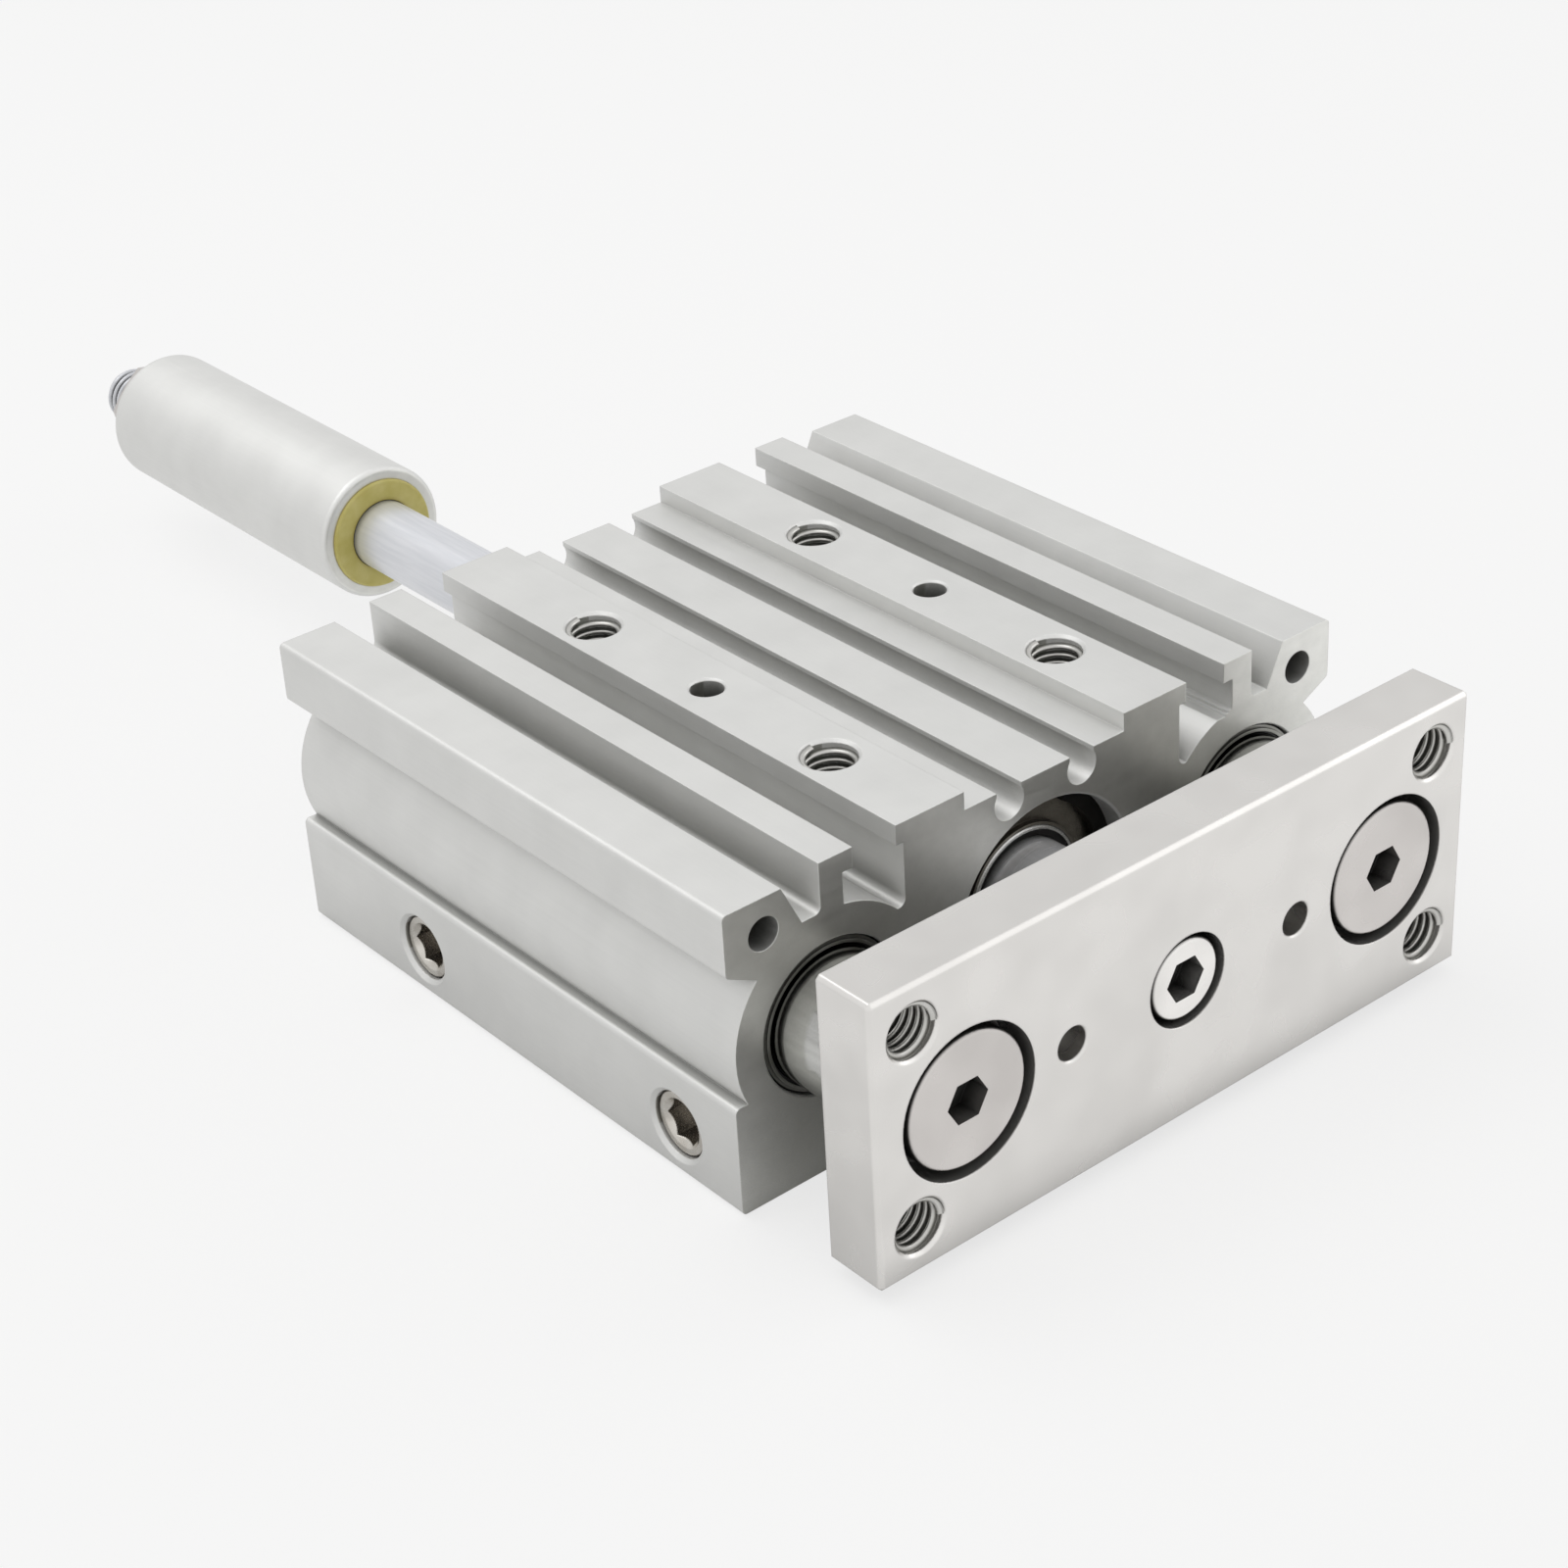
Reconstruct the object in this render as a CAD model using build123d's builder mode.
from build123d import *
import os
from math import sqrt

# Guided pneumatic cylinder with a stroke stop on its tail rod. A slotted aluminium housing
# holds one piston between two guide rods, an end plate joins the three rods in front, and a
# tube with a urethane bumper rides on the tail rod behind. Millimetres. X runs across, Y along
# the stroke with the end plate towards -Y, and Z up; the origin is the middle of the
# housing's underside.

right_angle = 90.0           # degrees

# Housing extrusion
body_width = 112.0
body_height = 48.0
body_length = 103.0
rod_spacing = 78.0
corner_radius = 0.8
block_height = 17.1          # the square block under the rounded sides
flange_drop = 1.0            # of the side flanges below the lands
flange_edge = 9.3            # upright edge of a side flange
flange_slope = 2.5           # drop of a flange's underside towards its root
step_drop = 2.8              # of the steps and middle rib below the lands
channel_diameter = 5.0       # air channel along each flange
channel_inset = 6.5
channel_depth = 5.4          # below the flange top

# Grooves along the housing's top, as distances from its middle plane
sensor_groove_inner = 4.5
sensor_groove_width = 4.5
sensor_seat_diameter = 5.4
sensor_seat_depth = 4.9
land_inner = 14.8
land_width = 12.05
slot_opening = 7.45
slot_inner_undercut = 1.25
slot_outer_undercut = 1.8
slot_lip = 3.1
slot_depth = 12.8
slot_corner_radius = 1.2     # at the foot of a slot's inner wall
slot_foot_depth = 7.85       # of the ledges at the foot of its outer wall
slot_ledge_width = 0.6
slot_ledge_drop = 0.4
rib_width = 5.7
v_groove_floor = 3.2
v_groove_top = 6.3
v_groove_depth = 7.5
v_groove_radius = 1.0        # at the foot of its upright wall
corner_reach = 0.01          # how near a profile corner is looked for

# Bores along the stroke
piston_bore_wall = 8.0       # from the housing's underside to the bore
guide_bore = 23.2
guide_wall = 4.8
piston_bore_chamfer = 0.3
guide_bore_chamfer = 0.2

# Mounting holes of the housing and its ports, along the stroke from the front face
thread_diameter = 8.0
thread_depth = 20.0
thread_chamfer = 0.45
clear_hole = 6.6
counterbore_diameter = 11.0
counterbore_depth = 7.5
dowel_diameter = 5.0
dowel_depth = 6.0
dowel_chamfer = 0.3
mount_spacing_x = 42.0
mount_first = 20.0
mount_pitch = 52.8
port_diameter = 9.7
port_depth = 7.0
port_offset = 9.0
port_passage = 4.0
port_first = 13.6
port_pitch = 60.0
side_port_height = 7.4
side_port_depth = 9.0
side_port_rim = 11.4
plug_diameter = 10.2
plug_length = 7.0
plug_recess = 1.0
plug_edge = 0.4
plug_socket = 6.0
plug_socket_depth = 4.5
plug_socket_mouth = 7.6

# End plate
plate_height = 44.0
plate_thickness = 10.0
plate_gap = 16.7             # between the plate and the housing as it stands here
plate_side_margin = 16.0     # from a guide axis to the plate's side
plate_chamfer = 0.6
plate_back_chamfer = 0.3
plate_hole_margin = 7.0      # from the plate's edges to its tapped holes
plate_dowels = 42.0
screw_hole = 8.5
rod_screw_seat = 22.6
rod_screw_seat_depth = 6.2
rod_screw_head = 20.0
middle_screw_seat = 14.0
middle_screw_seat_depth = 7.0
middle_screw_head = 12.2
screw_head_recess = 0.4
screw_reach = 16.0           # thread length inside a rod
thread_runout = 2.0
screw_socket = 6.0
screw_socket_depth = 3.6
head_edge = 0.6

# Rods and piston
guide_rod = 20.0
guide_rod_set_back = 9.5     # of its free end from the housing's rear face
piston_rod_diameter = 16.0
tail_rod_diameter = 12.0
rod_chamfer = 1.0
piston_spigot = 10.0
spigot_reach = 9.0           # of the piston rod's spigot inside the tail rod
piston_thickness = 10.0
piston_play = 0.2
seal_width = 3.6
seal_play = 0.05
seal_groove_depth = 3.0
seal_edge = 1.0              # from each piston face to the groove beside it
magnet_width = 2.6
magnet_groove_depth = 3.0
magnet_play = 0.3
rod_play = 0.03              # of a rod in its bush, on the radius
wiper_play = 0.06
retract_travel = 6.5         # left in each direction from the pose shown
extend_travel = 38.0
end_play = 0.25

# Covers in the piston bore, and what they carry
cover_recess = 5.5
front_flange = 6.0
rear_recess = 5.5
cover_spigot = 26.0
cover_spigot_length = 3.0
bumper_thickness = 2.0
bumper_play = 0.5
o_ring_width = 2.4
o_ring_depth = 1.8
o_ring_inset = 1.8
snap_ring_thickness = 1.5
snap_ring_seat = 1.0         # depth of its groove in the bore
snap_ring_section = 3.4
snap_ring_opening = 60.0     # degrees
snap_ring_eye = 4.4
snap_ring_eye_hole = 1.8
nose_wall = 0.45
nose_reach = 0.9             # of a cover's nose ahead of its face
wiper_wall = 1.15
wiper_depth = 3.0
wiper_inset = 0.35
scraper_wall = 0.6           # of the metal case round the wiper
scraper_reach = 0.2          # ahead of the nose
scraper_edge = 0.25
bush_wall = 1.5

# Guide bushes, from the housing's front face
retainer_inset = 0.25
retainer_length = 3.1
retainer_nose = 1.2
retainer_groove = 0.3
retainer_wall = 1.2
retainer_rim = 0.45          # raised rim round the retainer's opening
retainer_rim_step = 0.35
guide_wiper_inset = 0.5      # behind the retainer's face
front_bush_length = 27.0
bush_gap = 5.0
rear_bush_length = 17.0

# Stroke stop on the tail rod
stop_distance = 61.3         # from the housing's rear face to the tube
stop_tube_diameter = 23.5
stop_tube_length = 71.0
stop_tube_bore = 14.0
stop_nut_length = 12.0
stop_rim_radius = 0.9
stop_end_radius = 1.6
stop_bumper_diameter = 19.3
stop_bumper_length = 6.0
stop_bumper_proud = 0.6
stop_bumper_play = 0.1
stop_bumper_edge = 0.5
stop_thread = 10.0
stop_thread_play = 0.05
stop_thread_length = 52.0
rod_end_reach = 15.0         # of the tail rod behind the tube
rod_end_chamfer = 1.2
lock_nut_width = 16.0        # across its flats
lock_nut_thickness = 5.0
lock_nut_face = 15.2
lock_nut_turn = 46.0         # degrees, as it was left when the stop was set
hexagon_corners = 2 / sqrt(3)  # a hexagon's width over its corners by that over its flats

# Height of the axes and stations along the stroke, which follow from the sizes above
axis_height = body_height / 2
piston_bore = body_height - 2 * piston_bore_wall
front_face = -body_length / 2
rear_face = body_length / 2
rod_x = rod_spacing / 2
guide_wall_radius = guide_bore / 2 + guide_wall
plate_back = front_face - plate_gap
plate_front = plate_back - plate_thickness
front_cover_face = front_face + cover_recess
front_cover_spigot = front_cover_face + front_flange
front_bumper_face = front_cover_spigot + cover_spigot_length
piston_front = front_bumper_face + bumper_thickness + end_play + extend_travel
piston_rear = piston_front + piston_thickness
rear_bumper_face = piston_rear + retract_travel + end_play
rear_cover_spigot = rear_bumper_face + bumper_thickness
rear_cover_disc = rear_cover_spigot + cover_spigot_length
rear_cover_face = rear_face - rear_recess
stop_front = rear_face + stop_distance
stop_rear = stop_front + stop_tube_length
tail_end = stop_rear + rod_end_reach


def across(station):
    """Plane square to the stroke; a positive extrusion runs towards the end plate."""
    return Plane.XZ.offset(-station)


def save(piece, name):
    piece.part.label = name
    export_step(piece.part, f"parts/{name}.step")


def corners(sketch, *places):
    """Corners of a sketch at the given places, on both sides of its middle line."""
    return sketch.vertices().filter_by(
        lambda v: any(
            abs(abs(v.X) - x) < corner_reach and abs(v.Y - y) < corner_reach for x, y in places
        )
    )


def turned(x, outline, mode=Mode.ADD):
    """Turns an outline of (station, radius) points round an axis along the stroke."""
    axial = Plane(origin=(x, 0, axis_height), x_dir=(0, 1, 0), z_dir=(1, 0, 0))
    with BuildSketch(axial) as half_section:
        with BuildLine():
            Polyline(*outline, close=True)
        make_face()
    revolve(half_section.sketch, axis=Axis((x, 0, axis_height), (0, 1, 0)), mode=mode)


def tube(name, x, outer, inner, start, length):
    """A plain ring or sleeve round an axis along the stroke, from its front station."""
    with BuildPart() as piece:
        with BuildSketch(across(start)):
            with Locations((x, axis_height)):
                Circle(outer / 2)
                Circle(inner / 2, mode=Mode.SUBTRACT)
        extrude(amount=-length)
    save(piece, name)


os.makedirs("parts", exist_ok=True)

# Housing
side = body_width / 2
groove_outer = sensor_groove_inner + sensor_groove_width
groove_middle = sensor_groove_inner + sensor_groove_width / 2
seat_radius = sensor_seat_diameter / 2
flange_height = body_height - flange_drop
step_height = body_height - step_drop
seat_bottom = step_height - sensor_seat_depth
seat_mouth = seat_bottom + seat_radius + sqrt(seat_radius**2 - (sensor_groove_width / 2) ** 2)
land_outer = land_inner + land_width
lip_height = body_height - slot_lip
slot_inner = land_outer - slot_inner_undercut
rib_inner = land_outer + slot_opening
slot_outer = rib_inner + slot_outer_undercut
slot_middle = land_outer + slot_opening / 2
slot_floor = body_height - slot_depth
slot_foot = body_height - slot_foot_depth
ledge_one = slot_outer - slot_ledge_width
ledge_two = ledge_one - slot_ledge_width
rib_outer = rib_inner + rib_width
v_floor = body_height - v_groove_depth
flange_low = flange_height - flange_edge
flange_root = flange_low - flange_slope
flange_root_x = rod_x + sqrt(guide_wall_radius**2 - (flange_root - axis_height) ** 2)
mount_stations = (front_face + mount_first, front_face + mount_first + mount_pitch)
dowel_station = front_face + mount_first + mount_pitch / 2
port_stations = (front_face + port_first, front_face + port_first + port_pitch)

with BuildPart() as cylinder_body:
    with BuildSketch(across(rear_face)) as profile:
        with BuildLine():
            Polyline(
                (0, 0),
                (side, 0),
                (side, block_height),
                (rod_x, block_height),
                (rod_x, flange_root),
                (flange_root_x, flange_root),
                (side, flange_low),
                (side, flange_height),
                (rib_outer + v_groove_top, flange_height),
                (rib_outer + v_groove_floor, v_floor),
                (rib_outer, v_floor),
                (rib_outer, body_height),
                (rib_inner, body_height),
                (rib_inner, lip_height),
                (slot_outer, lip_height),
                (slot_outer, slot_floor),
                (slot_inner, slot_floor),
                (slot_inner, lip_height),
                (land_outer, lip_height),
                (land_outer, body_height),
                (land_inner, body_height),
                (land_inner, step_height),
                (groove_outer, step_height),
                (groove_outer, seat_mouth),
            )
            ThreePointArc(
                (groove_outer, seat_mouth),
                (groove_middle, seat_bottom),
                (sensor_groove_inner, seat_mouth),
            )
            Polyline(
                (sensor_groove_inner, seat_mouth),
                (sensor_groove_inner, step_height),
                (0, step_height),
            )
            mirror(about=Plane.YZ)
        make_face()
        outer_corners = profile.vertices().filter_by(lambda v: abs(v.X) > side - corner_radius)
        fillet(outer_corners, radius=corner_radius)
        fillet(corners(profile, (slot_inner, slot_floor)), radius=slot_corner_radius)
        fillet(corners(profile, (rib_outer, v_floor)), radius=v_groove_radius)

        # Round walls of the guide bores, which rise into the T-slots
        with Locations((-rod_x, axis_height), (rod_x, axis_height)):
            Circle(guide_wall_radius)
        with BuildLine():
            Polyline(
                (slot_middle, lip_height),
                (slot_outer, lip_height),
                (slot_outer, slot_foot),
                (ledge_one, slot_foot),
                (ledge_one, slot_foot - slot_ledge_drop),
                (ledge_two, slot_foot - slot_ledge_drop),
                (ledge_two, slot_foot - 2 * slot_ledge_drop),
                (slot_middle, slot_foot - 2 * slot_ledge_drop),
                close=True,
            )
            mirror(about=Plane.YZ)
        make_face(mode=Mode.SUBTRACT)

        # Bores and air channels
        with Locations((0, axis_height)):
            Circle(piston_bore / 2, mode=Mode.SUBTRACT)
        with Locations((-rod_x, axis_height), (rod_x, axis_height)):
            Circle(guide_bore / 2, mode=Mode.SUBTRACT)
        with Locations(
            (channel_inset - side, flange_height - channel_depth),
            (side - channel_inset, flange_height - channel_depth),
        ):
            Circle(channel_diameter / 2, mode=Mode.SUBTRACT)
    extrude(amount=body_length)

    # Mouths of the three bores
    for x, bore, edge in (
        (-rod_x, guide_bore, guide_bore_chamfer),
        (0, piston_bore, piston_bore_chamfer),
        (rod_x, guide_bore, guide_bore_chamfer),
    ):
        for station, inwards in ((front_face, 1), (rear_face, -1)):
            mouth = Plane(origin=(x, station, axis_height), x_dir=(1, 0, 0), z_dir=(0, inwards, 0))
            with BuildSketch(mouth):
                Circle(bore / 2 + edge)
            extrude(amount=edge, taper=right_angle / 2, mode=Mode.SUBTRACT)

    # Grooves for the two snap rings
    for station in (front_cover_face - snap_ring_thickness, rear_cover_face):
        with BuildSketch(across(station)):
            with Locations((0, axis_height)):
                Circle(piston_bore / 2 + snap_ring_seat)
        extrude(amount=-snap_ring_thickness, mode=Mode.SUBTRACT)

    # Tapped holes on top, clear below and counterbored from the underside
    hole_places = [
        (x, y) for x in (-mount_spacing_x / 2, mount_spacing_x / 2) for y in mount_stations
    ]
    with Locations(Plane.XY.offset(body_height)):
        with Locations(*hole_places):
            CounterSinkHole(
                thread_diameter / 2,
                thread_diameter / 2 + thread_chamfer,
                thread_depth,
                right_angle,
            )
        with Locations(*[(x, dowel_station) for x in (-mount_spacing_x / 2, mount_spacing_x / 2)]):
            CounterSinkHole(
                dowel_diameter / 2, dowel_diameter / 2 + dowel_chamfer, dowel_depth, right_angle
            )
    with Locations(Plane.XY):
        with Locations(*hole_places):
            Cylinder(
                clear_hole / 2,
                body_height - thread_depth,
                align=(Align.CENTER, Align.CENTER, Align.MIN),
                mode=Mode.SUBTRACT,
            )
            Cylinder(
                counterbore_diameter / 2,
                counterbore_depth,
                align=(Align.CENTER, Align.CENTER, Align.MIN),
                mode=Mode.SUBTRACT,
            )

        # Ports in the underside with their passages into the piston bore
        with Locations(*[(-port_offset, y) for y in port_stations]):
            Cylinder(
                port_diameter / 2,
                port_depth,
                align=(Align.CENTER, Align.CENTER, Align.MIN),
                mode=Mode.SUBTRACT,
            )
            Cylinder(
                port_passage / 2,
                axis_height,
                align=(Align.CENTER, Align.CENTER, Align.MIN),
                mode=Mode.SUBTRACT,
            )

    # Sockets of the plugged side ports
    with Locations(Plane(origin=(-side, 0, side_port_height), x_dir=(0, 1, 0), z_dir=(-1, 0, 0))):
        with Locations(*[(y, 0) for y in port_stations]):
            CounterSinkHole(plug_diameter / 2, side_port_rim / 2, side_port_depth, right_angle)
save(cylinder_body, "cylinder_body")

# Taper plugs of the side ports
with BuildPart() as side_plugs:
    plug_face = Plane(
        origin=(plug_recess - side, 0, side_port_height), x_dir=(0, 1, 0), z_dir=(-1, 0, 0)
    )
    with BuildSketch(plug_face):
        with Locations(*[(y, 0) for y in port_stations]):
            Circle(plug_diameter / 2)
    extrude(amount=-plug_length)
    chamfer(side_plugs.edges().filter_by(GeomType.CIRCLE).group_by(Axis.X)[0], length=plug_edge)
    with BuildSketch(plug_face):
        with Locations(*[(y, 0) for y in port_stations]):
            RegularPolygon(plug_socket / 2, 6, major_radius=False)
    extrude(amount=-plug_socket_depth, mode=Mode.SUBTRACT)
    with BuildSketch(plug_face):
        with Locations(*[(y, 0) for y in port_stations]):
            Circle(plug_socket_mouth / 2)
    extrude(amount=(plug_socket - plug_socket_mouth) / 2, taper=right_angle / 2, mode=Mode.SUBTRACT)
save(side_plugs, "side_plugs")


# Covers in the two ends of the piston bore
def cover(name, face, inwards, flange, rod):
    """A cover seen from its outer face: nose, sealed flange and bumper spigot."""
    bore_radius = piston_bore / 2
    seal_floor = bore_radius - o_ring_depth
    wiper_radius = rod / 2 + wiper_wall + scraper_wall
    bush_radius = rod / 2 + bush_wall
    nose_radius = wiper_radius + nose_wall
    depths_and_radii = (
        (-nose_reach, wiper_radius),
        (-nose_reach, nose_radius),
        (0, nose_radius),
        (0, bore_radius),
        (o_ring_inset, bore_radius),
        (o_ring_inset, seal_floor),
        (o_ring_inset + o_ring_width, seal_floor),
        (o_ring_inset + o_ring_width, bore_radius),
        (flange, bore_radius),
        (flange, cover_spigot / 2),
        (flange + cover_spigot_length, cover_spigot / 2),
        (flange + cover_spigot_length, bush_radius),
        (wiper_depth - nose_reach, bush_radius),
        (wiper_depth - nose_reach, wiper_radius),
    )
    with BuildPart() as piece:
        turned(0, [(face + inwards * d, r) for d, r in depths_and_radii])
    save(piece, name)


def scraper(name, face, inwards, rod):
    """Metal case of the wiper, which stands a little out of the nose."""
    inner = rod / 2 + wiper_wall
    outer = inner + scraper_wall
    back = wiper_depth - nose_reach
    front = -nose_reach - scraper_reach
    depths_and_radii = (
        (front, inner),
        (front, outer - scraper_edge),
        (front + scraper_edge, outer),
        (back, outer),
        (back, inner),
    )
    with BuildPart() as piece:
        turned(0, [(face + inwards * d, r) for d, r in depths_and_radii])
    save(piece, name)


def snap_ring(name, station):
    """Open ring in its groove ahead of a cover, with two eyes for the pliers."""
    outer = piston_bore / 2 + snap_ring_seat
    inner = outer - snap_ring_section
    half_opening = snap_ring_opening / 2
    with BuildPart() as piece:
        with BuildSketch(across(station)):
            with Locations((0, axis_height)):
                Circle(outer)
                Circle(inner, mode=Mode.SUBTRACT)
                Triangle(
                    a=2 * outer,
                    B=right_angle - half_opening,
                    C=right_angle - half_opening,
                    rotation=2 * right_angle,
                    align=(Align.CENTER, Align.MAX),
                    mode=Mode.SUBTRACT,
                )
                for angle in (-right_angle - half_opening, half_opening - right_angle):
                    with PolarLocations(inner, 1, start_angle=angle):
                        Circle(snap_ring_eye / 2)
                        Circle(snap_ring_eye_hole / 2, mode=Mode.SUBTRACT)
        extrude(amount=-snap_ring_thickness)
    save(piece, name)


rear_flange = rear_cover_face - rear_cover_disc
cover("rod_cover", front_cover_face, 1, front_flange, piston_rod_diameter)
cover("rear_cover", rear_cover_face, -1, rear_flange, tail_rod_diameter)
scraper("rod_scraper", front_cover_face, 1, piston_rod_diameter)
scraper("tail_rod_scraper", rear_cover_face, -1, tail_rod_diameter)
snap_ring("rod_cover_snap_ring", front_cover_face - snap_ring_thickness)
snap_ring("rear_cover_snap_ring", rear_cover_face)

# Wipers, seals, bushes and bumpers of the covers
wiper_back = wiper_depth - nose_reach
wiper_length = wiper_depth - wiper_inset
rod_wiper_outer = piston_rod_diameter + 2 * wiper_wall
rod_wiper_inner = piston_rod_diameter + 2 * wiper_play
rod_wiper_start = front_cover_face + wiper_back - wiper_length
tube("rod_wiper", 0, rod_wiper_outer, rod_wiper_inner, rod_wiper_start, wiper_length)
tail_wiper_outer = tail_rod_diameter + 2 * wiper_wall
tail_wiper_inner = tail_rod_diameter + 2 * wiper_play
tail_wiper_start = rear_cover_face - wiper_back
tube("tail_rod_wiper", 0, tail_wiper_outer, tail_wiper_inner, tail_wiper_start, wiper_length)

o_ring_floor = piston_bore - 2 * o_ring_depth
front_o_ring = front_cover_face + o_ring_inset
rear_o_ring = rear_cover_face - o_ring_inset - o_ring_width
tube("rod_cover_o_ring", 0, piston_bore, o_ring_floor, front_o_ring, o_ring_width)
tube("rear_cover_o_ring", 0, piston_bore, o_ring_floor, rear_o_ring, o_ring_width)

rod_bush_inner = piston_rod_diameter + 2 * rod_play
rod_bush_outer = piston_rod_diameter + 2 * bush_wall
rod_bush_length = front_flange + cover_spigot_length - wiper_back
tube("rod_bush", 0, rod_bush_outer, rod_bush_inner, front_cover_face + wiper_back, rod_bush_length)
tail_bush_inner = tail_rod_diameter + 2 * rod_play
tail_bush_outer = tail_rod_diameter + 2 * bush_wall
tail_bush_length = rear_flange + cover_spigot_length - wiper_back
tube("tail_rod_bush", 0, tail_bush_outer, tail_bush_inner, rear_cover_spigot, tail_bush_length)

rod_bumper_inner = piston_rod_diameter + 2 * bumper_play
tail_bumper_inner = tail_rod_diameter + 2 * bumper_play
tube("front_bumper", 0, cover_spigot, rod_bumper_inner, front_bumper_face, bumper_thickness)
tube("rear_bumper", 0, cover_spigot, tail_bumper_inner, rear_bumper_face, bumper_thickness)


# Guide bushes, retainers and wipers, one set in each guide bore
def retainer(name, x):
    """Ring in the mouth of a guide bore: a groove round its nose, a raised rim inside."""
    outer = guide_bore / 2
    inner = outer - retainer_wall
    face = front_face + retainer_inset
    with BuildPart() as piece:
        turned(
            x,
            [
                (face, inner),
                (face, inner + retainer_rim),
                (face + retainer_rim_step, inner + retainer_rim),
                (face + retainer_rim_step, outer - retainer_groove),
                (face + retainer_nose, outer - retainer_groove),
                (face + retainer_nose, outer),
                (face + retainer_length, outer),
                (face + retainer_length, inner),
            ],
        )
    save(piece, name)


front_bush = front_face + retainer_inset + retainer_length
rear_bush = front_bush + front_bush_length + bush_gap
guide_bush_inner = guide_rod + 2 * rod_play
guide_wiper_outer = guide_bore - 2 * retainer_wall
guide_wiper_inner = guide_rod + 2 * wiper_play
guide_wiper_start = front_face + retainer_inset + guide_wiper_inset
guide_wiper_length = retainer_length - guide_wiper_inset
for hand, x in (("left", -rod_x), ("right", rod_x)):
    front_name = f"guide_bush_front_{hand}"
    rear_name = f"guide_bush_rear_{hand}"
    wiper_name = f"guide_wiper_{hand}"
    tube(front_name, x, guide_bore, guide_bush_inner, front_bush, front_bush_length)
    tube(rear_name, x, guide_bore, guide_bush_inner, rear_bush, rear_bush_length)
    tube(wiper_name, x, guide_wiper_outer, guide_wiper_inner, guide_wiper_start, guide_wiper_length)
    retainer(f"guide_retainer_{hand}", x)

# End plate
plate_width = rod_spacing + 2 * plate_side_margin
plate_holes_x = plate_width - 2 * plate_hole_margin
plate_holes_z = plate_height - 2 * plate_hole_margin
plate_face = Plane(origin=(0, plate_front, axis_height), x_dir=(1, 0, 0), z_dir=(0, -1, 0))
with BuildPart() as end_plate:
    with BuildSketch(plate_face):
        Rectangle(plate_width, plate_height)
    extrude(amount=-plate_thickness)
    edges_by_station = end_plate.edges().group_by(Axis.Y)
    chamfer(edges_by_station[0] + edges_by_station[1], length=plate_chamfer)
    chamfer(end_plate.edges().group_by(Axis.Y)[-1], length=plate_back_chamfer)
    with Locations(plate_face):
        with GridLocations(plate_holes_x, plate_holes_z, 2, 2):
            CounterSinkHole(
                thread_diameter / 2,
                thread_diameter / 2 + thread_chamfer,
                plate_thickness,
                right_angle,
            )
        with GridLocations(plate_dowels, plate_holes_z, 2, 1):
            CounterSinkHole(
                dowel_diameter / 2, dowel_diameter / 2 + dowel_chamfer, dowel_depth, right_angle
            )
        with GridLocations(rod_spacing, plate_holes_z, 2, 1):
            CounterBoreHole(
                screw_hole / 2, rod_screw_seat / 2, rod_screw_seat_depth, plate_thickness
            )
        CounterBoreHole(
            screw_hole / 2, middle_screw_seat / 2, middle_screw_seat_depth, plate_thickness
        )
save(end_plate, "end_plate")


# Screws that hold the rods to the plate
def plate_screws(name, xs, head, seat_depth):
    """Flat headed screws with a hexagon socket, from inside the plate into the rods."""
    head_face = plate_face.offset(-screw_head_recess)
    with BuildPart() as piece:
        with BuildSketch(head_face):
            with Locations(*[(x, 0) for x in xs]):
                Circle(head / 2)
        extrude(amount=screw_head_recess - seat_depth)
        rims = piece.edges().filter_by(GeomType.CIRCLE).group_by(Axis.Y)[0]
        fillet(rims, radius=head_edge)
        with BuildSketch(plate_face.offset(-seat_depth)):
            with Locations(*[(x, 0) for x in xs]):
                Circle(thread_diameter / 2)
        extrude(amount=seat_depth - plate_thickness - screw_reach)
        with BuildSketch(head_face):
            with Locations(*[(x, 0) for x in xs]):
                RegularPolygon(screw_socket / 2, 6, major_radius=False)
        extrude(amount=-screw_socket_depth, mode=Mode.SUBTRACT)
    save(piece, name)


plate_screws("guide_rod_screws", (-rod_x, rod_x), rod_screw_head, rod_screw_seat_depth)
plate_screws("piston_rod_screw", (0,), middle_screw_head, middle_screw_seat_depth)

# Guide rods, tapped for their screws
for hand, x in (("left", -rod_x), ("right", rod_x)):
    with BuildPart() as guide:
        with BuildSketch(across(plate_back)):
            with Locations((x, axis_height)):
                Circle(guide_rod / 2)
        extrude(amount=plate_back - (rear_face - guide_rod_set_back))
        chamfer(guide.edges().filter_by(GeomType.CIRCLE).group_by(Axis.Y)[-1], length=rod_chamfer)
        with BuildSketch(across(plate_back)):
            with Locations((x, axis_height)):
                Circle(thread_diameter / 2)
        extrude(amount=-screw_reach - thread_runout, mode=Mode.SUBTRACT)
    save(guide, f"guide_rod_{hand}")

# Piston rod with the spigot that carries the piston
with BuildPart() as piston_rod:
    with BuildSketch(across(plate_back)):
        with Locations((0, axis_height)):
            Circle(piston_rod_diameter / 2)
    extrude(amount=plate_back - piston_front)
    with BuildSketch(across(piston_front)):
        with Locations((0, axis_height)):
            Circle(piston_spigot / 2)
    extrude(amount=-piston_thickness - spigot_reach)
    with BuildSketch(across(plate_back)):
        with Locations((0, axis_height)):
            Circle(thread_diameter / 2)
    extrude(amount=-screw_reach - thread_runout, mode=Mode.SUBTRACT)
save(piston_rod, "piston_rod")

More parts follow.
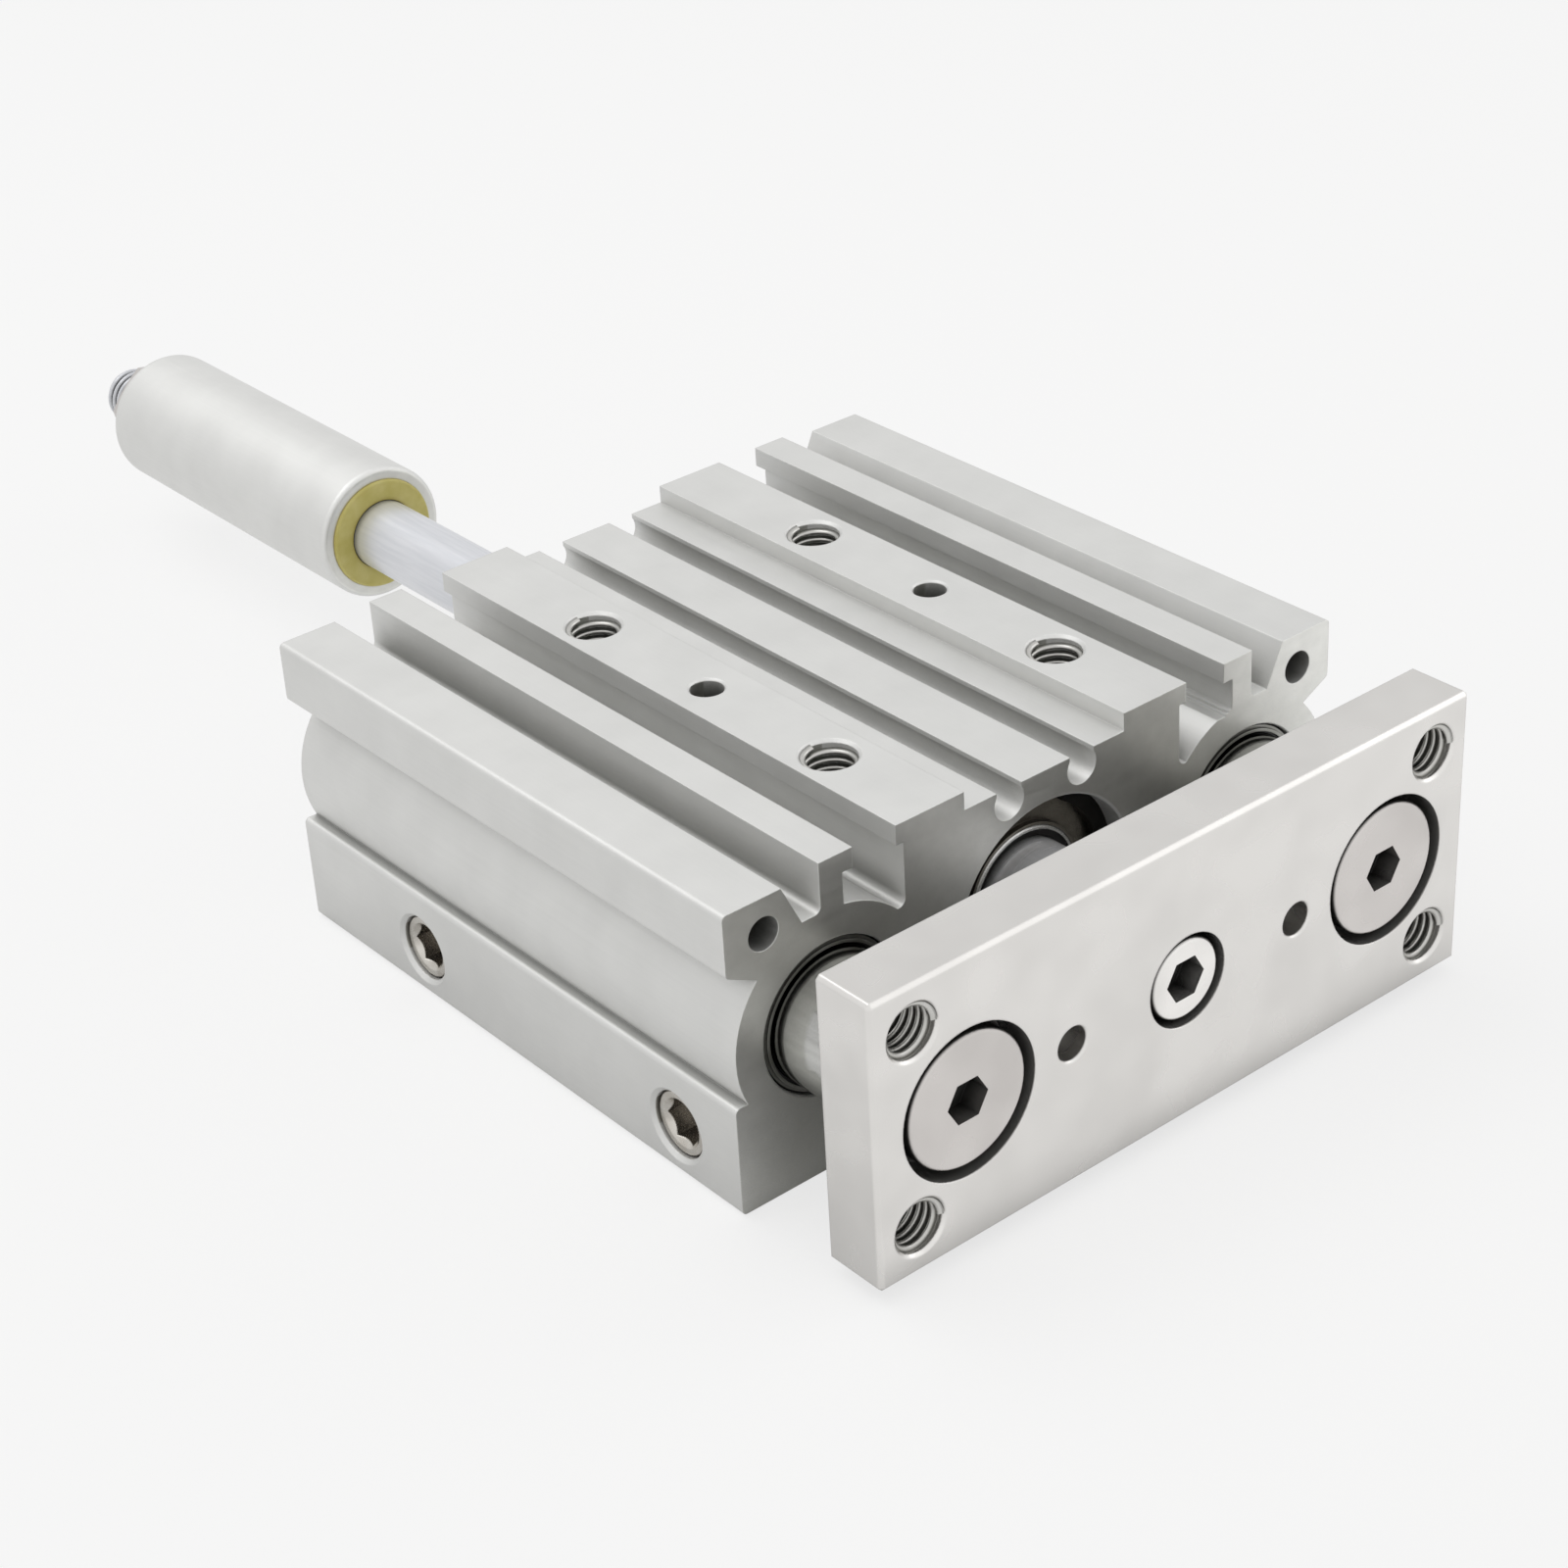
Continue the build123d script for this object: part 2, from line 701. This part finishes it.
# Piston with grooves for its seal and magnet
piston_radius = piston_bore / 2 - piston_play
seal_start = piston_front + seal_edge
seal_floor = piston_radius - seal_groove_depth
magnet_end = piston_rear - seal_edge
magnet_floor = piston_radius - magnet_groove_depth
with BuildPart() as piston:
    turned(
        0,
        [
            (piston_front, piston_spigot / 2),
            (piston_front, piston_radius),
            (seal_start, piston_radius),
            (seal_start, seal_floor),
            (seal_start + seal_width, seal_floor),
            (seal_start + seal_width, piston_radius),
            (magnet_end - magnet_width, piston_radius),
            (magnet_end - magnet_width, magnet_floor),
            (magnet_end, magnet_floor),
            (magnet_end, piston_radius),
            (piston_rear, piston_radius),
            (piston_rear, piston_spigot / 2),
        ],
    )
save(piston, "piston")

seal_outer = piston_bore - 2 * seal_play
magnet_outer = 2 * (piston_radius - magnet_play)
tube("piston_seal", 0, seal_outer, 2 * seal_floor, seal_start, seal_width)
tube("piston_magnet", 0, magnet_outer, 2 * magnet_floor, magnet_end - magnet_width, magnet_width)

# Tail rod, threaded behind for the stroke stop
thread_start = tail_end - stop_thread_length
with BuildPart() as tail_rod:
    with BuildSketch(across(piston_rear)):
        with Locations((0, axis_height)):
            Circle(tail_rod_diameter / 2)
            Circle(piston_spigot / 2, mode=Mode.SUBTRACT)
    extrude(amount=-spigot_reach)
    with BuildSketch(across(piston_rear + spigot_reach)):
        with Locations((0, axis_height)):
            Circle(tail_rod_diameter / 2)
    extrude(amount=piston_rear + spigot_reach - thread_start)
    with BuildSketch(across(thread_start)):
        with Locations((0, axis_height)):
            Circle(stop_thread / 2)
    extrude(amount=-stop_thread_length)
    chamfer(
        tail_rod.edges().filter_by(GeomType.CIRCLE).group_by(Axis.Y)[-1], length=rod_end_chamfer
    )
save(tail_rod, "tail_rod")

# Stroke stop: a tube threaded on the tail rod, with a bumper in its mouth
nut_hole = stop_thread / 2 + stop_thread_play
nut_face = stop_rear - stop_nut_length
bumper_seat = stop_front + stop_bumper_length - stop_bumper_proud
with BuildPart() as stop_tube:
    turned(
        0,
        [
            (stop_front, stop_bumper_diameter / 2),
            (stop_front, stop_tube_diameter / 2),
            (stop_rear, stop_tube_diameter / 2),
            (stop_rear, nut_hole),
            (nut_face, nut_hole),
            (nut_face, stop_tube_bore / 2),
            (bumper_seat, stop_tube_bore / 2),
            (bumper_seat, stop_bumper_diameter / 2),
        ],
    )
    front_rims = stop_tube.edges().filter_by(GeomType.CIRCLE).group_by(Axis.Y)[0]
    fillet(front_rims.sort_by(SortBy.RADIUS)[-1], radius=stop_rim_radius)
    end_rims = stop_tube.edges().filter_by(GeomType.CIRCLE).group_by(Axis.Y)[-1]
    fillet(end_rims.sort_by(SortBy.RADIUS)[-1], radius=stop_end_radius)
save(stop_tube, "stop_tube")

with BuildPart() as stop_bumper:
    with BuildSketch(across(stop_front - stop_bumper_proud)):
        with Locations((0, axis_height)):
            Circle(stop_bumper_diameter / 2)
            Circle(tail_rod_diameter / 2 + stop_bumper_play, mode=Mode.SUBTRACT)
    extrude(amount=-stop_bumper_length)
    bumper_rims = stop_bumper.edges().filter_by(GeomType.CIRCLE).group_by(Axis.Y)[0]
    fillet(bumper_rims.sort_by(SortBy.RADIUS)[-1], radius=stop_bumper_edge)
save(stop_bumper, "stop_bumper")

# Lock nut behind the tube, with chamfered corners
lock_nut_rear = stop_rear + lock_nut_thickness
lock_nut_corner = hexagon_corners * lock_nut_width / 2
lock_nut_chamfer = (lock_nut_corner - lock_nut_face / 2) / 2
with BuildPart() as stop_lock_nut:
    with BuildSketch(across(stop_rear)):
        with Locations((0, axis_height)):
            RegularPolygon(lock_nut_width / 2, 6, major_radius=False, rotation=lock_nut_turn)
            Circle(nut_hole, mode=Mode.SUBTRACT)
    extrude(amount=-lock_nut_thickness)
    turned(
        0,
        [
            (stop_rear, 0),
            (stop_rear, lock_nut_face / 2),
            (stop_rear + lock_nut_chamfer, lock_nut_corner),
            (lock_nut_rear - lock_nut_chamfer, lock_nut_corner),
            (lock_nut_rear, lock_nut_face / 2),
            (lock_nut_rear, 0),
        ],
        mode=Mode.INTERSECT,
    )
save(stop_lock_nut, "stop_lock_nut")
